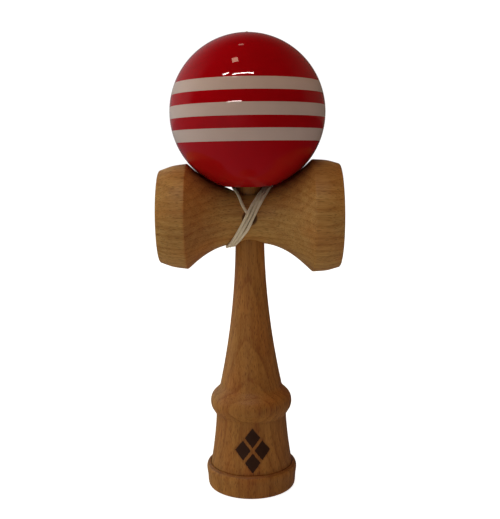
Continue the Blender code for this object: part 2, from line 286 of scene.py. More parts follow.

# The cross piece's wood, with painted reddish shade on the small cup's flank and painted shade round the
# string's hole
SARADO_LIGHT = (0.62, 0.370, 0.120)
SARADO_DARK = (0.353, 0.155, 0.042)
SARADO_PITH = (-118.0, 70.0)
FLANK_SHADE_FADE_IN = (-8.0, -20.0)
FLANK_SHADE_FADE_OUT = (-25.4, -24.0)
FLANK_SHADE_SHARE = 0.7
FLANK_SHADE_COLOUR = (0.92, 0.66, 0.55)
HOLE_SHADE_FRONT = (-5.0, -7.0)
HOLE_SHADE_REACH = (0.3, -0.4)
HOLE_SHADE_SHARE = 0.8
HOLE_SHADE_COLOUR = (0.07, 0.022, 0.009)

# Bare wood of the bead and the ball's bore
BEAD_LIGHT = (0.60, 0.38, 0.18)
BEAD_DARK = (0.42, 0.23, 0.09)
BORE_LIGHT = (0.58, 0.35, 0.16)
BORE_DARK = (0.40, 0.20, 0.08)
BARE_PITH = (20.0, 30.0)

# Lacquer, with lengths in millimetres
REDS = ((0.48, 0.001, 0.006), (0.40, 0.001, 0.005))
PALES = ((0.69, 0.545, 0.54), (0.63, 0.495, 0.49))
CLOUD_SCALE = 0.10
STRIPE_EDGE = 0.05
STRIPE_WANDER = 0.08
STRIPE_WANDER_SCALE = 0.9
SMEAR_SCALE = (0.25, 0.25, 0.6)
COAT_WEIGHT = 0.9
COAT_ROUGHNESS = 0.03
COAT_RELIEF = 0.00005
COAT_WAVE_SCALE = 0.22
COAT_GRAIN_SCALE = (1.2, 1.2, 0.3)
COAT_GRAIN_HEIGHT = 0.06
COAT_STRIPE_HEIGHT = 0.35

# Cotton
COTTON_CLEAN = (0.88, 0.79, 0.65)
COTTON_SOILED = (0.74, 0.63, 0.48)
SOIL_SCALE = 0.16
SOIL_RANGE = (0.35, 0.75)
STRAND_SHADE = (0.20, 0.15, 0.10)
STRAND_SHADE_RANGE = (0.75, 0.1)
STRAND_SHADE_SHARE = 0.6
FUZZ_COLOUR = (0.80, 0.74, 0.62)
FUZZ_SCALE = 5.0
FUZZ_SHARE = 0.25
COTTON_RELIEF = 0.00004

# Studio: brightness of the floor and the world for light, and as the gloss mirrors them
LIT_POINT = Vector((0.0, 0.0, 0.10))
FLOOR_RADIUS = 4.0
FLOOR_DROP = 0.0002
FLOOR_COLOUR = (0.80, 0.79, 0.77, 1.0)
FLOOR_GLOW = 0.12
FLOOR_SEEN = 0.92
FLOOR_SEEN_RISE = 0.10
FLOOR_SEEN_FADE = (0.02, 0.35)
FLOOR_MIRRORED_LEFT = (0.14, 0.14, 0.16)
FLOOR_MIRRORED_RIGHT = (0.02, 0.02, 0.02)
FLOOR_TO_LEFT = (0.25, -0.25)
WHITE = (1.0, 1.0, 1.0, 1.0)
WORLD_SEEN = 1.05
LEFT_WALL = (1.42, 1.78, 1.65)
RIGHT_WALL = (0.24, 0.08, 0.03)
ROOM = (0.012, 0.010, 0.008)
MIRRORED_LEFT = (0.26, 0.24, 0.25)
MIRRORED_RIGHT = (0.10, 0.08, 0.06)
WORLD_BEHIND = (-0.12, 0.20)
WORLD_TO_LEFT = (0.3, -0.3)
WALL_TOP = (0.85, 0.45)
MIRRORED_WALL_TOP = (0.95, 0.40)

# Lamps: place, width along X and height, power and colour
TUBE_WHITE = (1.0, 0.95, 0.88)
MIRRORED_LAMPS = {
    "long_tube": ((-0.10, -0.722, 1.13), (0.58, 0.022), 3.2, TUBE_WHITE),
    "short_tube": ((-0.56, -0.625, 1.145), (0.18, 0.022), 0.9, TUBE_WHITE),
    "far_tube": ((-0.63, -1.86, 0.60), (0.75, 0.05), 3.0, TUBE_WHITE),
    "small_spot": ((-0.23, -0.225, 1.15), (0.12, 0.15), 0.35, (1.0, 0.75, 0.55)),
    "far_spot": ((-0.085, 0.31, 1.13), (0.07, 0.06), 0.03, (1.0, 0.75, 0.60)),
}
SOFT_LAMPS = {
    "left_panel": ((-0.97, -0.17, 0.30), (0.90, 0.90), 2.35, (0.96, 1.0, 0.86)),
    "front": ((-0.22, -0.64, 0.92), (0.50, 0.50), 1.35, (1.0, 0.78, 0.60)),
    "overhead": ((-0.10, -0.24, 1.09), (0.60, 0.60), 2.9, (1.0, 0.70, 0.40)),
}


# ---------------------------------------------------------------- camera

def make_camera():
    """The camera in front of the toy, tilted a little down."""
    data = bpy.data.cameras.new("camera")
    data.sensor_width = CAMERA_SENSOR
    data.lens = CAMERA_LENS
    data.clip_start = 0.01
    camera = bpy.data.objects.new("camera", data)
    bpy.context.scene.collection.objects.link(camera)
    tilt = Matrix.Rotation(math.pi / 2 - CAMERA_DOWN, 4, "X")
    roll = Matrix.Rotation(-CAMERA_ROLL, 4, "Z")
    camera.matrix_world = Matrix.Translation(CAMERA_PLACE) @ tilt @ roll
    bpy.context.scene.camera = camera


# ---------------------------------------------------------------- outlines

def smooth_through(points, steps=8):
    """A Catmull-Rom curve through the points, with this many steps from each to the next."""
    route = np.array(points, float)
    route = np.vstack([2 * route[0] - route[1], route, 2 * route[-1] - route[-2]])
    curve = []
    for a, b, c, d in zip(route, route[1:], route[2:], route[3:]):
        for t in np.arange(steps) / steps:
            square = (2 * a - 5 * b + 4 * c - d) * t**2
            cube = (3 * b - a - 3 * c + d) * t**3
            curve.append(0.5 * (2 * b + (c - a) * t + square + cube))
    return np.array([*curve, route[-2]])


def arc(centre, radius, start, end, steps):
    """Points of an arc in an outline's plane, with angles in degrees from the outline's first axis."""
    angles = np.radians(np.linspace(start, end, steps + 1))
    return [(centre[0] + radius * math.cos(a), centre[1] + radius * math.sin(a)) for a in angles]


def dish(mouth_radius, depth):
    """Radius and depth below the mouth of a round dish, from its deepest point to its mouth."""
    curvature = (mouth_radius**2 + depth**2) / (2 * depth)
    angles = np.linspace(0, math.asin(mouth_radius / curvature), 29)
    return [(curvature * math.sin(a), depth - curvature * (1 - math.cos(a))) for a in angles]


def foot_radius(height):
    """The handle's radius between the rim's crease and the ring."""
    share = (RING_FOOT - height) / (RING_FOOT - RIM_CREASE)
    return FOOT_TOP_RADIUS + FOOT_FLARE * max(share, 0.0) ** FOOT_CURVE


def taper_radius(height):
    """The handle's radius from the ring up to the cross piece."""
    return TAPER_LEAST_RADIUS + TAPER_FLARE * (TAPER_LEAST_HEIGHT - height) ** 2


def spike_radius(height):
    """The spike's radius from the cross piece up to its round tip."""
    share = (height - SPIKE_FOOT) / (KEN_LENGTH - SPIKE_TIP_RADIUS - SPIKE_FOOT)
    return SPIKE_TIP_RADIUS + (SPIKE_RADIUS - SPIKE_TIP_RADIUS) * (1 - share**SPIKE_CURVE)


def ken_outline():
    """From the base cup's deepest point, round the rim and the ring, to the spike's tip."""
    rim = smooth_through(RIM_PROFILE, steps=5)
    foot = [(foot_radius(z), z) for z in np.linspace(RIM_CREASE, RING_FOOT, 44)]
    ring = smooth_through(RING_PROFILE, steps=10)
    taper = [(taper_radius(z), z) for z in np.linspace(TAPER_START, NECK_TOP, 60)]
    spike_end = KEN_LENGTH - SPIKE_TIP_RADIUS
    spike = [(spike_radius(z), z) for z in np.linspace(SPIKE_FOOT, spike_end, 40)]
    tip = arc((0, spike_end), SPIKE_TIP_RADIUS, 8, 84, 10)
    hollow = dish(BASE_CUP_RADIUS, BASE_CUP_DEPTH)
    rounding = BASE_EDGE_ROUNDING
    edge = arc((BASE_CUP_RADIUS + rounding, rounding), rounding, 205, 260, 4)
    return [*hollow[:-1], *edge, *rim, *foot, *ring[1:], *taper, *spike, *tip, (0.0, KEN_LENGTH)]


def flank_radius(x, cup):
    """The cross piece's radius at a distance x from its middle, up to the cup's rounded ridge."""
    share = x / cup["ridge"]
    rise = (cup["ridge_radius"] - WAIST_RADIUS) * share ** cup["power"]
    return WAIST_RADIUS + rise + cup["fullness"] * share**3 * math.sqrt(1 - share)


def cup_outline(cup):
    """Radius and distance from the middle, from the cup's deepest point, over its rim, to the waist."""
    face = cup["face_radius"]
    mouth = face - CUP_RIM_WIDTH
    inner = CUP_MOUTH_ROUNDING
    hollow = [(r, CUP_FACE - depth) for r, depth in dish(mouth, cup["depth"])]
    inside_edge = arc((mouth + inner, CUP_FACE - inner), inner, 150, 95, 4)
    edge = arc((face - EDGE_ROUNDING, CUP_FACE - EDGE_ROUNDING), EDGE_ROUNDING, 90, 12, 8)
    middle = (0.5 * (face + cup["ridge_radius"]) + BARREL_BULGE, 0.5 * (CUP_FACE + cup["ridge"]))
    barrel = smooth_through([edge[-1], middle, (cup["ridge_radius"], cup["ridge"])], steps=14)
    flank = [(flank_radius(x, cup), x) for x in np.linspace(cup["ridge"], 0, 64)[1:-1]]
    return [*hollow[:-1], *inside_edge, *edge, *barrel[1:], *flank]


def sarado_outline():
    """From the small cup's deepest point to the big cup's, with the big cup towards +Z."""
    small = [(radius, -x) for radius, x in cup_outline(SMALL_CUP)]
    return [*small, (WAIST_RADIUS, 0.0), *reversed(cup_outline(BIG_CUP))]


def tama_outline():
    """A closed loop: the ball's outside from its string hole to its opening, and back up the bore."""
    lip_centre = LIP_RADIUS + STRING_RADIUS + GAP + LIP_CLEARANCE
    on_ball = math.sqrt(BALL_RADIUS**2 - lip_centre**2)
    lip = arc((lip_centre, on_ball - LIP_RADIUS), LIP_RADIUS, 180, 92, 16)
    start = math.degrees(math.acos((lip_centre + GAP) / BALL_RADIUS))
    end = -math.degrees(math.acos((OPENING_RADIUS + OPENING_EDGE) / BALL_RADIUS))
    outside = arc((0, 0), BALL_RADIUS, start, end, 150)
    opening = outside[-1][1]
    edge = [(OPENING_RADIUS + out, opening + up) for out, up in OPENING_EDGE_STEPS]
    top = BORE_TOP - BALL_CENTRE.z
    narrower, below, under = BORE_SHOULDER
    bore = [(BORE_RADIUS, z) for z in np.linspace(opening + OPENING_BEVEL, top - below, 24)]
    return [*lip, *outside, *edge, *bore, (BORE_RADIUS - narrower, top - under), (lip[0][0], top)]


def bead_outline():
    """A closed loop: a round bead with a straight hole."""
    middle = 0.5 * (BEAD_TOP + BEAD_BOTTOM)
    half = 0.5 * (BEAD_TOP - BEAD_BOTTOM)
    bulge = BEAD_RADIUS - BEAD_HOLE_RADIUS
    angles = np.radians(np.linspace(-80, 80, 25))
    side = [(BEAD_HOLE_RADIUS + bulge * math.cos(a), middle + half * math.sin(a)) for a in angles]
    return [(BEAD_HOLE_RADIUS, BEAD_BOTTOM), *side, (BEAD_HOLE_RADIUS, BEAD_TOP)]


# ---------------------------------------------------------------- mesh tools

def add_object(name, data, *finishes):
    """An object in the scene, holding this data, with its materials."""
    made = bpy.data.objects.new(name, data)
    bpy.context.scene.collection.objects.link(made)
    for finish in finishes:
        data.materials.append(finish)
    return made


def turned(name, outline, *finishes, segments=SEGMENTS, ring=False):
    """A solid turned about Z from (radius, height) points. A ring's outline is a loop off the axis."""
    bm = bmesh.new()
    corners = [bm.verts.new((radius, 0.0, height)) for radius, height in outline]
    edges = [bm.edges.new(pair) for pair in zip(corners, corners[1:])]
    if ring:
        edges.append(bm.edges.new((corners[-1], corners[0])))
    bmesh.ops.spin(
        bm, geom=corners + edges, axis=(0, 0, 1), angle=2 * math.pi, steps=segments, use_merge=True
    )
    bmesh.ops.remove_doubles(bm, verts=bm.verts, dist=MERGE)
    bmesh.ops.recalc_face_normals(bm, faces=bm.faces)
    mesh = bpy.data.meshes.new(name)
    bm.to_mesh(mesh)
    bm.free()
    return add_object(name, mesh, *finishes)


def cut(piece, *cutters):
    """Takes the cutters' shapes out of the piece for good."""
    for cutter in cutters:
        boolean = piece.modifiers.new(cutter.name, "BOOLEAN")
        boolean.operation = "DIFFERENCE"
        boolean.solver = "EXACT"
        boolean.object = cutter
    bpy.context.view_layer.update()
    result = bpy.data.meshes.new_from_object(piece.evaluated_get(bpy.context.evaluated_depsgraph_get()))
    piece.modifiers.clear()
    piece.data = result
    for cutter in cutters:
        bpy.data.objects.remove(cutter)


def shade(piece, angle=32):
    """Smooth shading, with an edge kept sharp past this angle in degrees."""
    piece.data.shade_smooth()
    piece.data.set_sharp_from_angle(angle=math.radians(angle))


def along_front(piece):
    """Turns a piece made about Z so that its +Z end faces the front at the string hole's height."""
    turn = Matrix.Rotation(math.pi / 2, 4, "X")
    piece.data.transform(Matrix.Translation((0, 0, CROSS_HEIGHT)) @ turn)
    return piece


def across(piece):
    """Turns a piece made about Z so that its +Z end faces +X at the cross piece's height."""
    turn = Matrix.Rotation(math.pi / 2, 4, "Y")
    piece.data.transform(Matrix.Translation((0, 0, CROSS_HEIGHT)) @ turn)
    return piece


# ---------------------------------------------------------------- the string's route

def waist_surface(x):
    """The cross piece's radius at x, on either side of its middle."""
    return flank_radius(abs(x), BIG_CUP if x > 0 else SMALL_CUP)


def on_waist(x, angle, lift):
    """The string's centre on the cross piece: angle is 0 at the front and 90 degrees on top."""
    radius = waist_surface(x) + STRING_OFFSET + lift
    return (x, -radius * math.cos(angle), CROSS_HEIGHT + radius * math.sin(angle))


def bump(degrees):
    """1 at 0 degrees, falling smoothly to 0 on both sides."""
    return math.exp(-((degrees / RISE_WIDTH) ** 2))


def winding_point(turned_by):
    """The string's centre in its oblique turns round the waist, by how far it has turned from the front.

    It runs from the top right of the spike across the front to the lower left of the neck. The strand
    that crosses the string's own exit rises over it, the third strand leaves a narrow slit beside the
    second below the exit, and the last strand climbs over the others behind the waist. The strands lie
    closer together on top and underneath, where they run straight back.
    """
    degrees = math.degrees(turned_by)
    slant = math.asin(TURN_SHAPE * math.sin(-turned_by)) / math.asin(TURN_SHAPE)
    pitch = TURN_PITCH * (1 - TURN_SQUEEZE * math.sin(turned_by) ** 2)
    slit = SLIT * bump(degrees - SLIT_AT)
    x = TURN_CENTRE + TURN_REACH * slant + pitch * (degrees / 360 - 1) + slit
    over_exit = EXIT_RISE * bump(degrees - EXIT_CROSSED)
    over_second = SECOND_RISE * bump(degrees - SECOND_CROSSED)
    climb = CLIMB * min(max((degrees - CLIMB_START) / CLIMB_WIDTH, 0.0), 1.0)
    return on_waist(x, -turned_by, over_exit + over_second + climb)


def round_the_spike():
    """The string's centre from its exit bend, up the front and round behind the spike."""
    spots = [
        (-0.0026, -0.0101),
        (-0.0044, -0.0069),
        (-0.0061, -0.0028),
        (-0.0063, 0.0006),
        (-0.0047, 0.0045),
        (0.0, 0.0066),
        (0.0044, 0.0043),
        (0.0059, 0.0009),
    ]
    route = []
    for x, y in spots:
        radius = waist_surface(x) + STRING_OFFSET
        route.append((x, y, CROSS_HEIGHT + math.sqrt(radius**2 - y**2)))
    return route


def exit_bend():
    """The string's centre through the handle, out of the front hole and up to the left."""
    start = POCKET_FLOOR + GAP / 3
    route = [(0, y, CROSS_HEIGHT) for y in (start, -EXIT_MIDDLE, -EXIT_START)]
    for turn in np.radians([30, 60, 90]):
        rise = EXIT_BEND * (1 - math.cos(turn))
        y = -EXIT_START - EXIT_BEND * math.sin(turn)
        route.append((-rise * math.sin(EXIT_LEAN), y, CROSS_HEIGHT + rise * math.cos(EXIT_LEAN)))
    return route


def behind_the_ball():
    """The string's centre from the waist, up behind the ball and down into its string hole."""
    clear = BALL_RADIUS + STRING_OFFSET
    over = WAIST_RADIUS + STRING_OFFSET + CLIMB
    tangent = math.asin((clear - over) / (BALL_CENTRE.z - CROSS_HEIGHT))
    low = (over * math.cos(tangent), CROSS_HEIGHT - over * math.sin(tangent))
    high = (clear * math.cos(tangent), BALL_CENTRE.z - clear * math.sin(tangent))
    route = []
    for share in (0.12, 0.3, 0.5, 0.7, 0.88):
        x = -RISER_LEAN + (BALL_CENTRE.x + RISER_LEAN) * share
        y = low[0] + share * (high[0] - low[0])
        z = low[1] + share * (high[1] - low[1])
        route.append((x, y, z))
    for angle in np.linspace(tangent, math.radians(-81), 12):
        route.append((BALL_CENTRE.x, clear * math.cos(angle), BALL_CENTRE.z - clear * math.sin(angle)))
    bend = LIP_RADIUS + STRING_RADIUS + GAP
    centre_y = bend + LIP_CLEARANCE
    centre_z = BALL_CENTRE.z + math.sqrt(BALL_RADIUS**2 - centre_y**2) - LIP_RADIUS
    for angle in np.radians([112, 135, 158, 180]):
        y = centre_y + bend * math.cos(angle)
        route.append((BALL_CENTRE.x, y, centre_z + bend * math.sin(angle)))
    knot_top = END_KNOT_BOX[1].z + GAP
    return [*route, *((BALL_CENTRE.x, 0, z) for z in (HOLE_MIDDLE, BORE_TOP, knot_top))]


def string_route():
    """The whole string's centre, from the anchor knot to the knot under the bead."""
    turns = [winding_point(a) for a in np.radians(np.arange(TURNS_START, TURNS_END, 15))]
    return smooth_through([*exit_bend(), *round_the_spike(), *turns, *behind_the_ball()])


# ---------------------------------------------------------------- tubes

def evenly_spaced(curve, spacing):
    """Points a fixed distance apart along a fine curve, with both its ends."""
    lengths = np.concatenate([[0], np.cumsum(np.linalg.norm(np.diff(curve, axis=0), axis=1))])
    count = round(lengths[-1] / spacing)
    wanted = np.linspace(0, lengths[-1], count + 1)
    return np.column_stack([np.interp(wanted, lengths, curve[:, axis]) for axis in range(3)])


def carried_sides(points):
    """Two directions across the curve at each point, carried along it without twisting."""
    ahead = np.gradient(points, axis=0)
    ahead /= np.linalg.norm(ahead, axis=1)[:, None]
    side = np.cross(ahead[0], (1.0, 0.0, 0.0))
    sides = []
    for direction in ahead:
        side = side - direction * (side @ direction)
        side /= np.linalg.norm(side)
        sides.append(side)
    sides = np.array(sides)
    return sides, np.cross(ahead, sides)


def braided_tube(name, curve, radius, finish, closed=False):
    """A tube along the curve, braided of crossing strands. Its attribute braid holds their relief."""
    centres = evenly_spaced(curve, RING_SPACING)
    if closed:
        centres = centres[:-1]
    one, other = carried_sides(centres)
    count = len(centres)
    around = np.arange(STRING_SIDES) * 2 * math.pi / STRING_SIDES
    along = np.arange(count)[:, None] * RING_SPACING * math.pi / BRAID_PITCH
    left = np.abs(np.cos(2 * around[None, :] + 2 * along))
    right = np.abs(np.sin(2 * around[None, :] - 2 * along))
    relief = np.maximum(left, right)
    relief = (relief - relief.min()) / (relief.max() - relief.min())
    reach = radius - BRAID_DEPTH * (1 - relief)
    ring = np.cos(around)[None, :, None] * one[:, None, :]
    ring = ring + np.sin(around)[None, :, None] * other[:, None, :]
    points = (centres[:, None, :] + reach[:, :, None] * ring).reshape(-1, 3)
    faces = []
    for i in range(count if closed else count - 1):
        row = i * STRING_SIDES
        following = (i + 1) % count * STRING_SIDES
        for k in range(STRING_SIDES):
            after = (k + 1) % STRING_SIDES
            faces.append((row + k, row + after, following + after, following + k))
    if not closed:
        faces.append(tuple(reversed(range(STRING_SIDES))))
        faces.append(tuple(range((count - 1) * STRING_SIDES, count * STRING_SIDES)))
    mesh = bpy.data.meshes.new(name)
    mesh.from_pydata(points.tolist(), [], faces)
    attribute = mesh.attributes.new("braid", "FLOAT", "POINT")
    attribute.data.foreach_set("value", relief.astype(np.float32).ravel())
    mesh.shade_smooth()
    return add_object(name, mesh, finish)


def tied_knot(name, box, finish):
    """A small tight overhand knot in this box: a trefoil of the string, closed on itself."""
    centre = np.array((box[0] + box[1]) / 2)
    reach = (box[1].x - box[0].x) / 2
    turn = np.linspace(0, 2 * math.pi, KNOT_POINTS)
    strand = KNOT_STRAND * reach
    scale = (reach - strand) / 3
    x = scale * (np.sin(turn) + 2 * np.sin(2 * turn))
    y = scale * (np.cos(turn) - 2 * np.cos(2 * turn))
    z = -KNOT_RISE * scale * np.sin(3 * turn)
    curve = centre + np.column_stack([x, y, z])
    return braided_tube(name, curve, strand, finish, closed=True)


# ---------------------------------------------------------------- materials

def node(tree, kind, inputs=None, **settings):
    """A shader node with these settings, whose inputs are values or other nodes' outputs."""
    made = tree.nodes.new("ShaderNode" + kind)
    for name, value in settings.items():
        setattr(made, name, value)
    for name, value in (inputs or {}).items():
        if isinstance(value, bpy.types.NodeSocket):
            tree.links.new(value, made.inputs[name])
        else:
            made.inputs[name].default_value = value
    return made


def math_node(tree, operation, *values, clamp=False):
    """The result of a Math node."""
    return node(tree, "Math", dict(enumerate(values)), operation=operation, use_clamp=clamp).outputs[0]


def ramp(tree, value, start, end):
    """0 where the value is at start or before it, 1 at end or past it, and a smooth step between."""
    inputs = {"Value": value, "From Min": start, "From Max": end, "To Min": 0.0, "To Max": 1.0}
    return node(tree, "MapRange", inputs, interpolation_type="SMOOTHSTEP").outputs["Result"]


def mixed(tree, factor, one, other, blend="MIX"):
    """Two colours mixed by a factor."""
    made = node(tree, "Mix", data_type="RGBA", blend_type=blend, clamp_factor=True)
    for index, value in ((0, factor), (6, one), (7, other)):
        if isinstance(value, bpy.types.NodeSocket):
            tree.links.new(value, made.inputs[index])
        elif index == 0:
            made.inputs[index].default_value = value
        else:
            made.inputs[index].default_value = (*value, 1.0)
    return made.outputs[2]


def noise(tree, vector, scale, detail=2.0, roughness=0.5):
    """The value of a noise texture."""
    inputs = {"Vector": vector, "Scale": scale, "Detail": detail, "Roughness": roughness}
    return node(tree, "TexNoise", inputs).outputs["Fac"]


def stretched(tree, vector, scale, offset=(0.0, 0.0, 0.0)):
    """The vector scaled by axis and moved."""
    return node(tree, "Mapping", {"Vector": vector, "Scale": scale, "Location": offset}).outputs["Vector"]


def rotated(tree, vector, angle):
    """The vector turned about Y."""
    return node(tree, "Mapping", {"Vector": vector, "Rotation": (0.0, angle, 0.0)}).outputs["Vector"]


def start_material(name):
    """A new material, its node tree, its shader and the object's own coordinates in millimetres."""
    made = bpy.data.materials.new(name)
    made.use_nodes = True
    tree = made.node_tree
    shader = tree.nodes["Principled BSDF"]
    place = node(tree, "TexCoord").outputs["Object"]
    return made, tree, shader, stretched(tree, place, (1 / MM,) * 3)


def ring_lines(tree, grain, moved, pith):
    """Thin late-wood lines of the growth rings about a pith line along the grain, from 0 to 1."""
    wander = noise(tree, stretched(tree, moved, WANDER_SCALE), 1.0, detail=3.0)
    parts = node(tree, "SeparateXYZ", {0: grain}).outputs
    from_pith_x = math_node(tree, "ADD", parts["X"], -pith[0])
    from_pith_y = math_node(tree, "ADD", parts["Y"], -pith[1])
    flat = node(tree, "CombineXYZ", {"X": from_pith_x, "Y": from_pith_y, "Z": 0.0}).outputs[0]
    distance = node(tree, "VectorMath", {0: flat}, operation="LENGTH").outputs["Value"]
    rings = math_node(tree, "DIVIDE", distance, RING_WIDTH)
    ring = math_node(tree, "FRACT", math_node(tree, "MULTIPLY_ADD", wander, RING_WANDER, rings))
    late = math_node(tree, "POWER", ring, RING_SHARPNESS)
    return math_node(tree, "MULTIPLY", late, ramp(tree, ring, 1.0, RING_LATE_END))


def ray_flecks(tree, moved):
    """Beech's short dark flecks along the grain, from 0 to 1, in layers of different sizes."""
    flecks = None
    for layer in FLECK_LAYERS:
        scale = (1 / layer["width"], 1 / layer["width"], 1 / layer["length"])
        cells = stretched(tree, moved, scale, (layer["shift"],) * 3)
        nearest = node(tree, "TexVoronoi", {"Vector": cells, "Scale": 1.0, "Randomness": 1.0})
        mask = ramp(tree, nearest.outputs["Distance"], layer["reach"], layer["reach"] * FLECK_CORE)
        strength = node(tree, "SeparateColor", {0: nearest.outputs["Color"]}).outputs[0]
        mask = math_node(tree, "MULTIPLY", mask, ramp(tree, strength, *FLECK_STRENGTH))
        flecks = mask if flecks is None else math_node(tree, "MAXIMUM", flecks, mask)
    return flecks


def wood_pattern(tree, grain, light, dark, pith, seed):
    """Beech about a grain direction along +Z: colour, fleck mask and fibre value."""
    moved = stretched(tree, grain, (1.0, 1.0, 1.0), tuple(seed * shift for shift in SEED_SHIFT))
    late = ring_lines(tree, grain, moved, pith)
    flecks = ray_flecks(tree, moved)
    fibre = noise(tree, stretched(tree, moved, FIBRE_SCALE), 1.0, detail=4.0, roughness=0.62)
    streaks = noise(tree, stretched(tree, moved, STREAK_SCALE), 1.0, detail=3.0, roughness=0.55)
    patches = noise(tree, stretched(tree, moved, PATCH_SCALE), 1.0, detail=2.0)
    hue = noise(tree, stretched(tree, moved, HUE_SCALE, HUE_SHIFT), 1.0, detail=2.0)

    tone = math_node(tree, "MULTIPLY", ramp(tree, fibre, *FIBRE_RANGE), FIBRE_SHARE)
    tone = math_node(tree, "MULTIPLY_ADD", ramp(tree, streaks, *STREAK_RANGE), STREAK_SHARE, tone)
    tone = math_node(tree, "MULTIPLY_ADD", patches, PATCH_SHARE, tone)
    tone = math_node(tree, "MULTIPLY_ADD", late, RING_CONTRAST, tone, clamp=True)
    colour = mixed(tree, tone, light, dark)
    colour = mixed(tree, ramp(tree, hue, *HUE_RANGE), colour, REDDISH, "MULTIPLY")
    deep = tuple(FLECK_DARKNESS * c for c in dark)
    colour = mixed(tree, math_node(tree, "MULTIPLY", flecks, FLECK_SHARE), colour, deep)
    return colour, flecks, fibre


def finish_wood(tree, shader, colour, flecks, fibre, place, roughness=WOOD_ROUGHNESS):
    """Joins a wood's colour, sheen and fine relief to its shader."""
    tree.links.new(colour, shader.inputs["Base Color"])
    least = roughness - 0.5 * FIBRE_ROUGHNESS
    rough = math_node(tree, "MULTIPLY_ADD", fibre, FIBRE_ROUGHNESS, least)
    rough = math_node(tree, "MULTIPLY_ADD", flecks, FLECK_ROUGHNESS, rough)
    tree.links.new(rough, shader.inputs["Roughness"])
    hand_worn = noise(tree, stretched(tree, place, WORN_SCALE), 1.0, detail=2.0)
    height = math_node(tree, "MULTIPLY", fibre, FIBRE_HEIGHT)
    height = math_node(tree, "MULTIPLY_ADD", flecks, FLECK_HEIGHT, height)
    height = math_node(tree, "MULTIPLY_ADD", hand_worn, WORN_HEIGHT, height)
    relief = node(tree, "Bump", {"Strength": 0.35, "Distance": WOOD_RELIEF, "Height": height})
    tree.links.new(relief.outputs["Normal"], shader.inputs["Normal"])
    shader.inputs["Specular IOR Level"].default_value = WOOD_SPECULAR


def lozenge_mask(tree, place):
    """1 inside the burnt mark's four small lozenges on the handle's front, and 1 inside its halo."""
    parts = node(tree, "SeparateXYZ", {0: place}).outputs
    ragged = noise(tree, place, 1.6, detail=3.0)
    ragged = math_node(tree, "MULTIPLY_ADD", ragged, MARK_RAGGED, -0.5 * MARK_RAGGED)
    u, v = (
        math_node(tree, "DIVIDE", math_node(tree, "ADD", parts[axis], -centre / MM), half / MM)
        for axis, centre, half in zip("XZ", MARK_CENTRE, MARK_HALF)
    )
    a = math_node(tree, "ABSOLUTE", math_node(tree, "ADD", u, v))
    b = math_node(tree, "ABSOLUTE", math_node(tree, "SUBTRACT", u, v))
    outer = math_node(tree, "ADD", math_node(tree, "MAXIMUM", a, b), ragged)
    inner = math_node(tree, "ADD", math_node(tree, "MINIMUM", a, b), ragged)
    front = ramp(tree, parts["Y"], *MARK_FRONT)
    off_the_cross = ramp(tree, inner, *MARK_GAP_EDGE)
    mask = math_node(tree, "MULTIPLY", ramp(tree, outer, *MARK_EDGE), off_the_cross)
    halo = ramp(tree, outer, *HALO_EDGE)
    return math_node(tree, "MULTIPLY", mask, front), math_node(tree, "MULTIPLY", halo, front)


def ken_material():
    """Beech with its grain up the handle, a painted shade line in the rim's crease and the burnt mark."""
    made, tree, shader, place = start_material("ken_beech")
    colour, flecks, fibre = wood_pattern(tree, place, KEN_LIGHT, KEN_DARK, KEN_PITH, 1.0)
    parts = node(tree, "SeparateXYZ", {0: place}).outputs
    # painted shade: a thin dark line in the rim's crease, where the groove's shadow falls
    from_crease = math_node(tree, "ADD", parts["Z"], -(RIM_CREASE / MM + CREASE_SHADE_ABOVE))
    from_crease = math_node(tree, "ABSOLUTE", from_crease)
    crease = math_node(tree, "MULTIPLY", ramp(tree, from_crease, *CREASE_SHADE_EDGE), CREASE_SHADE_SHARE)
    colour = mixed(tree, crease, colour, CREASE_SHADE_COLOUR)
    mask, halo = lozenge_mask(tree, place)
    colour = mixed(tree, math_node(tree, "MULTIPLY", halo, HALO_SHARE), colour, HALO_COLOUR)
    colour = mixed(tree, math_node(tree, "MULTIPLY", mask, MARK_SHARE), colour, MARK_COLOUR)
    finish_wood(tree, shader, colour, flecks, fibre, place)
    return made


def sarado_material():
    """Beech with its grain along the cross piece, painted reddish shade on the small cup's flank, painted
    shade at its hole.
    """
    made, tree, shader, place = start_material("sarado_beech")
    grain = rotated(tree, place, math.pi / 2)
    colour, flecks, fibre = wood_pattern(tree, grain, SARADO_LIGHT, SARADO_DARK, SARADO_PITH, 2.0)
    parts = node(tree, "SeparateXYZ", {0: place}).outputs
    # painted reddish shade: the small cup's flank, from the waist to the ridge, darkened and reddened
    flank_shade = ramp(tree, parts["X"], *FLANK_SHADE_FADE_IN)
    flank_shade = math_node(tree, "MULTIPLY", flank_shade, ramp(tree, parts["X"], *FLANK_SHADE_FADE_OUT))
    flank_shade = math_node(tree, "MULTIPLY", flank_shade, FLANK_SHADE_SHARE)
    colour = mixed(tree, flank_shade, colour, FLANK_SHADE_COLOUR, "MULTIPLY")
    # painted shade: the string hole's rounded mouth on the front is darkened, as shade in the hole
    up = math_node(tree, "ADD", parts["Z"], -CROSS_HEIGHT / MM)
    from_hole = node(tree, "CombineXYZ", {"X": parts["X"], "Y": up, "Z": 0.0}).outputs[0]
    from_hole = node(tree, "VectorMath", {0: from_hole}, operation="LENGTH").outputs["Value"]
    outside, inside = (STRING_MOUTH_RADIUS / MM + reach for reach in HOLE_SHADE_REACH)
    hole_shade = ramp(tree, from_hole, outside, inside)
    hole_shade = math_node(tree, "MULTIPLY", hole_shade, ramp(tree, parts["Y"], *HOLE_SHADE_FRONT))
    colour = mixed(tree, math_node(tree, "MULTIPLY", hole_shade, HOLE_SHADE_SHARE), colour, HOLE_SHADE_COLOUR)
    finish_wood(tree, shader, colour, flecks, fibre, place)
    return made


def plain_wood_material(name, light, dark, seed):
    """Bare beech, for the ball's bore and the bead."""
    made, tree, shader, place = start_material(name)
    colour, flecks, fibre = wood_pattern(tree, place, light, dark, BARE_PITH, seed)
    finish_wood(tree, shader, colour, flecks, fibre, place, roughness=BARE_ROUGHNESS)
    return made


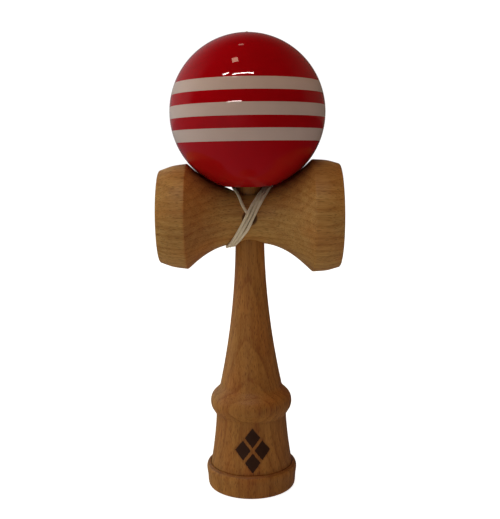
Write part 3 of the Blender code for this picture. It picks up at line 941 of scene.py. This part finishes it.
def lacquer_material():
    """Deep red gloss lacquer with three pale stripes under the clear coat."""
    made, tree, shader, place = start_material("red_lacquer")
    level = rotated(tree, place, STRIPE_TILT)
    height = math_node(tree, "ABSOLUTE", node(tree, "SeparateXYZ", {0: level}).outputs["Z"])
    brushed = noise(tree, place, STRIPE_WANDER_SCALE, detail=3.0)
    brushed = math_node(tree, "MULTIPLY_ADD", brushed, STRIPE_WANDER, -0.5 * STRIPE_WANDER)
    height = math_node(tree, "ADD", height, brushed)
    half, inside, outside = (limit / MM for limit in (STRIPE_HALF, *OUTER_STRIPE))
    middle = ramp(tree, height, half + STRIPE_EDGE, half - STRIPE_EDGE)
    past_inside = ramp(tree, height, inside - STRIPE_EDGE, inside + STRIPE_EDGE)
    before_outside = ramp(tree, height, outside + STRIPE_EDGE, outside - STRIPE_EDGE)
    outer = math_node(tree, "MULTIPLY", past_inside, before_outside)
    stripe = math_node(tree, "MAXIMUM", middle, outer)
    cloud = noise(tree, place, CLOUD_SCALE)
    red = mixed(tree, cloud, *REDS)
    pale = mixed(tree, cloud, *PALES)
    tree.links.new(mixed(tree, stripe, red, pale), shader.inputs["Base Color"])
    height = noise(tree, place, COAT_WAVE_SCALE, detail=1.0)
    grain = noise(tree, stretched(tree, place, COAT_GRAIN_SCALE), 1.0)
    height = math_node(tree, "MULTIPLY_ADD", grain, COAT_GRAIN_HEIGHT, height)
    height = math_node(tree, "MULTIPLY_ADD", stripe, COAT_STRIPE_HEIGHT, height)
    relief = node(tree, "Bump", {"Strength": 0.25, "Distance": COAT_RELIEF, "Height": height})
    tree.links.new(relief.outputs["Normal"], shader.inputs["Coat Normal"])
    smears = noise(tree, stretched(tree, place, SMEAR_SCALE), 1.0, detail=4.0, roughness=0.6)
    tree.links.new(math_node(tree, "MULTIPLY_ADD", smears, 0.2, 0.4), shader.inputs["Roughness"])
    shader.inputs["Specular IOR Level"].default_value = 0.0
    shader.inputs["Coat Weight"].default_value = COAT_WEIGHT
    shader.inputs["Coat Roughness"].default_value = COAT_ROUGHNESS
    return made


def cotton_material():
    """Off-white braided cotton: painted shade between its strands, a little soiled along its length."""
    made, tree, shader, place = start_material("braided_cotton")
    strands = node(tree, "Attribute", attribute_name="braid").outputs["Fac"]
    soiled = noise(tree, place, SOIL_SCALE, detail=3.0)
    fuzz = noise(tree, place, FUZZ_SCALE, detail=3.0, roughness=0.7)
    colour = mixed(tree, ramp(tree, soiled, *SOIL_RANGE), COTTON_CLEAN, COTTON_SOILED)
    # painted shade: the cotton is darkened where the braid's relief is low, between the strands
    between = ramp(tree, strands, *STRAND_SHADE_RANGE)
    between = math_node(tree, "MULTIPLY", between, STRAND_SHADE_SHARE)
    colour = mixed(tree, between, colour, STRAND_SHADE)
    colour = mixed(tree, math_node(tree, "MULTIPLY", fuzz, FUZZ_SHARE), colour, FUZZ_COLOUR)
    tree.links.new(colour, shader.inputs["Base Color"])
    tree.links.new(math_node(tree, "MULTIPLY_ADD", fuzz, 0.15, 0.78), shader.inputs["Roughness"])
    relief = node(tree, "Bump", {"Strength": 0.5, "Distance": COTTON_RELIEF, "Height": fuzz})
    tree.links.new(relief.outputs["Normal"], shader.inputs["Normal"])
    shader.inputs["Sheen Weight"].default_value = 0.25
    shader.inputs["Sheen Roughness"].default_value = 0.5
    shader.inputs["Specular IOR Level"].default_value = 0.2
    return made


# ---------------------------------------------------------------- pieces

def press_mark(piece):
    """Sinks the burnt mark a little into the front of the handle's foot."""
    count = len(piece.data.vertices)
    points = np.empty(count * 3)
    piece.data.vertices.foreach_get("co", points)
    points = points.reshape(-1, 3)
    u = (points[:, 0] - MARK_CENTRE[0]) / MARK_HALF[0]
    v = (points[:, 2] - MARK_CENTRE[1]) / MARK_HALF[1]
    a = np.abs(u + v)
    b = np.abs(u - v)
    inside = np.clip((1.0 - np.maximum(a, b)) / MARK_SLOPE, 0, 1)
    inside *= np.clip((np.minimum(a, b) - MARK_GAP) / MARK_SLOPE, 0, 1)
    inside *= points[:, 1] < -BASE_CUP_RADIUS / 2
    radial = np.linalg.norm(points[:, :2], axis=1)
    inside *= radial > MARK_LEAST_RADIUS
    shrink = 1 - inside * MARK_DEPTH / np.maximum(radial, MM)
    points[:, :2] *= shrink[:, None]
    piece.data.vertices.foreach_set("co", points.ravel())


def make_ken(finish):
    """The handle, turned in one piece with its spike, and its cross hole and pocket for the string."""
    ken = turned("ken_wood", ken_outline(), finish)
    press_mark(ken)
    hole = [
        (0.0, -POCKET_CLEARED),
        (POCKET_RADIUS, -POCKET_CLEARED),
        (POCKET_RADIUS, -POCKET_FLOOR),
        (CROSS_HOLE_RADIUS, -POCKET_FLOOR),
        (CROSS_HOLE_RADIUS, POCKET_CLEARED),
        (0.0, POCKET_CLEARED),
    ]
    cut(ken, along_front(turned("ken_string_hole", hole, segments=FINE_SEGMENTS)))
    shade(ken)
    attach(ken, "ken_body")
    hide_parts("ken")


def make_sarado(finish):
    """The cross piece with both cups, its tapered bore with a chamfered mouth, and the string's hole."""
    sarado = across(turned("sarado_wood", sarado_outline(), finish))
    bore_bottom = NECK_RADIUS + GAP
    bore_top = SPIKE_RADIUS + GAP
    chamfer_height = CROSS_HEIGHT + math.sqrt(WAIST_RADIUS**2 - MOUTH_CHAMFER_RADIUS**2)
    bore = [
        (0.0, CROSS_BORE_BOTTOM),
        (bore_bottom, CROSS_BORE_BOTTOM),
        (bore_bottom, NECK_TOP),
        (bore_top, chamfer_height - MOUTH_CHAMFER_DEPTH),
        (MOUTH_CHAMFER_RADIUS, chamfer_height),
        (MOUTH_CHAMFER_RADIUS + MOUTH_CLEARED, chamfer_height + MOUTH_CLEARED),
        (0.0, chamfer_height + MOUTH_CLEARED),
    ]
    rounding = STRING_MOUTH_ROUNDING
    hole = [
        (0.0, STRING_HOLE_BACK),
        (STRING_HOLE_RADIUS, STRING_HOLE_BACK),
        (STRING_HOLE_RADIUS, STRING_MOUTH_START),
        *arc((STRING_HOLE_RADIUS + rounding, STRING_MOUTH_BEND), rounding, 180, 105, 8),
        (STRING_MOUTH_RADIUS + GAP, STRING_MOUTH_CLEARED),
        (0.0, STRING_MOUTH_CLEARED),
    ]
    cut(
        sarado,
        turned("sarado_bore", bore, segments=FINE_SEGMENTS * 2),
        along_front(turned("sarado_string_hole", hole, segments=FINE_SEGMENTS)),
    )
    shade(sarado)
    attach(sarado, "ken_body")
    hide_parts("sarado")


def make_tama(lacquer, bare_wood):
    """The ball, lacquered outside and on its opening's bevel, with bare wood in its bore."""
    tama = turned("tama_ball", tama_outline(), lacquer, bare_wood, ring=True)
    for face in tama.data.polygons:
        radius = math.hypot(face.center.x, face.center.y)
        in_bore = radius < BORE_RADIUS + GAP and face.center.length < BALL_RADIUS - LIP_RADIUS
        face.material_index = 1 if in_bore else 0
    shade(tama, angle=25)
    tama.location = BALL_CENTRE
    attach(tama, "tama_body")
    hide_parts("tama")


def make_bead(finish):
    """The small wooden bead that keeps the string from pulling out of the ball."""
    bead = turned("bead_wood", bead_outline(), finish, segments=FINE_SEGMENTS, ring=True)
    bead.location = (BALL_CENTRE.x, 0, 0)
    shade(bead, angle=50)
    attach(bead, "string_end")
    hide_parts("bead")
    return bead


def make_knots(finish):
    """The knot behind the handle's cross hole and the knot under the bead."""
    knots = []
    for node_name, box, body in (
        ("anchor_knot", ANCHOR_KNOT_BOX, "ken_body"),
        ("end_knot", END_KNOT_BOX, "string_end"),
    ):
        knot = tied_knot(node_name + "_tied", box, finish)
        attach(knot, body)
        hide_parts(node_name)
        knots.append(knot)
    return knots


def make_string(finish, on_it):
    """The braided string from its anchor knot, round the waist, and up behind the ball into its hole."""
    route = string_route()
    string = braided_tube("string", route, STRING_RADIUS, finish)
    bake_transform(string)
    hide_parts("string_wound", "string_upper")


# ---------------------------------------------------------------- studio

def make_floor():
    """A plain pale floor, white to the camera, that throws light back up and is mirrored only dimly."""
    bm = bmesh.new()
    bmesh.ops.create_circle(bm, cap_ends=True, segments=96, radius=FLOOR_RADIUS)
    mesh = bpy.data.meshes.new("floor")
    bm.to_mesh(mesh)
    bm.free()
    made = bpy.data.materials.new("floor")
    made.use_nodes = True
    tree = made.node_tree
    tree.nodes.clear()
    output = node(tree, "OutputMaterial")
    rays = node(tree, "LightPath").outputs
    pale = node(tree, "BsdfDiffuse", {"Color": FLOOR_COLOUR})
    place = node(tree, "TexCoord").outputs["Object"]
    away = node(tree, "VectorMath", {0: place}, operation="LENGTH").outputs["Value"]
    far = ramp(tree, away, *FLOOR_SEEN_FADE)
    bright = math_node(tree, "MULTIPLY_ADD", far, FLOOR_SEEN_RISE, FLOOR_SEEN)
    seen = math_node(tree, "MULTIPLY", bright, rays["Is Camera Ray"])
    strength = math_node(tree, "MULTIPLY_ADD", rays["Is Diffuse Ray"], FLOOR_GLOW, seen)
    glow = node(tree, "Emission", {"Color": WHITE, "Strength": strength})
    lit = node(tree, "AddShader", {0: pale.outputs[0], 1: glow.outputs[0]})
    to_left = ramp(tree, node(tree, "SeparateXYZ", {0: place}).outputs["X"], *FLOOR_TO_LEFT)
    mirrored = mixed(tree, to_left, FLOOR_MIRRORED_RIGHT, FLOOR_MIRRORED_LEFT)
    dim = node(tree, "Emission", {"Color": mirrored, "Strength": 1.0})
    inputs = {0: rays["Is Glossy Ray"], 1: lit.outputs[0], 2: dim.outputs[0]}
    both = node(tree, "MixShader", inputs)
    tree.links.new(both.outputs[0], output.inputs["Surface"])
    floor = add_object("floor", mesh, made)
    floor.location = (0, 0, -FLOOR_DROP)


def make_world():
    """White to the camera. For light, pale walls behind the toy, mirrored dimmer, in a dim room."""
    world = bpy.data.worlds.new("studio")
    bpy.context.scene.world = world
    world.use_nodes = True
    tree = world.node_tree
    tree.nodes.clear()
    output = node(tree, "OutputWorld")
    rays = node(tree, "LightPath").outputs
    white = node(tree, "Background", {"Color": WHITE, "Strength": WORLD_SEEN})
    ahead = node(tree, "SeparateXYZ", {0: node(tree, "TexCoord").outputs["Generated"]}).outputs
    behind = ramp(tree, ahead["Y"], *WORLD_BEHIND)
    to_left = ramp(tree, ahead["X"], *WORLD_TO_LEFT)
    low = math_node(tree, "MULTIPLY", behind, ramp(tree, ahead["Z"], *WALL_TOP))
    walls = mixed(tree, low, ROOM, mixed(tree, to_left, RIGHT_WALL, LEFT_WALL))
    low = math_node(tree, "MULTIPLY", behind, ramp(tree, ahead["Z"], *MIRRORED_WALL_TOP))
    mirrored = mixed(tree, low, ROOM, mixed(tree, to_left, MIRRORED_RIGHT, MIRRORED_LEFT))
    colour = mixed(tree, rays["Is Glossy Ray"], walls, mirrored)
    light = node(tree, "Background", {"Color": colour, "Strength": 1.0})
    inputs = {0: rays["Is Camera Ray"], 1: light.outputs[0], 2: white.outputs[0]}
    both = node(tree, "MixShader", inputs)
    tree.links.new(both.outputs[0], output.inputs["Surface"])


def add_light(name, place, size, power, colour, mirrored):
    """A rectangular lamp facing the toy, with its width along X: either mirrored, or giving light."""
    data = bpy.data.lights.new(name, "AREA")
    data.shape = "RECTANGLE"
    data.size, data.size_y = size
    data.energy = power
    data.color = colour
    lamp = bpy.data.objects.new(name, data)
    bpy.context.scene.collection.objects.link(lamp)
    back = (Vector(place) - LIT_POINT).normalized()
    across_it = (Vector((1, 0, 0)) - back * back.x).normalized()
    turn = Matrix((across_it, back.cross(across_it), back)).transposed()
    lamp.matrix_world = Matrix.Translation(place) @ turn.to_4x4()
    lamp.visible_glossy = mirrored
    lamp.visible_diffuse = not mirrored


def make_lights():
    """Three ceiling tubes and two small spots that the lacquer mirrors, and the soft lamps that light."""
    for name, lamp in MIRRORED_LAMPS.items():
        add_light(name, *lamp, mirrored=True)
    for name, lamp in SOFT_LAMPS.items():
        add_light(name, *lamp, mirrored=False)


# ---------------------------------------------------------------- the whole

def main():
    """The camera and the string first, then the other pieces and the studio."""
    bpy.context.scene.view_settings.view_transform = "Standard"
    make_camera()
    cotton = cotton_material()
    bead = make_bead(plain_wood_material("bead_beech", BEAD_LIGHT, BEAD_DARK, 3.0))
    make_string(cotton, [bead, *make_knots(cotton)])
    make_ken(ken_material())
    make_sarado(sarado_material())
    bare_wood = plain_wood_material("bore_beech", BORE_LIGHT, BORE_DARK, 4.0)
    make_tama(lacquer_material(), bare_wood)
    make_floor()
    make_world()
    make_lights()


main()
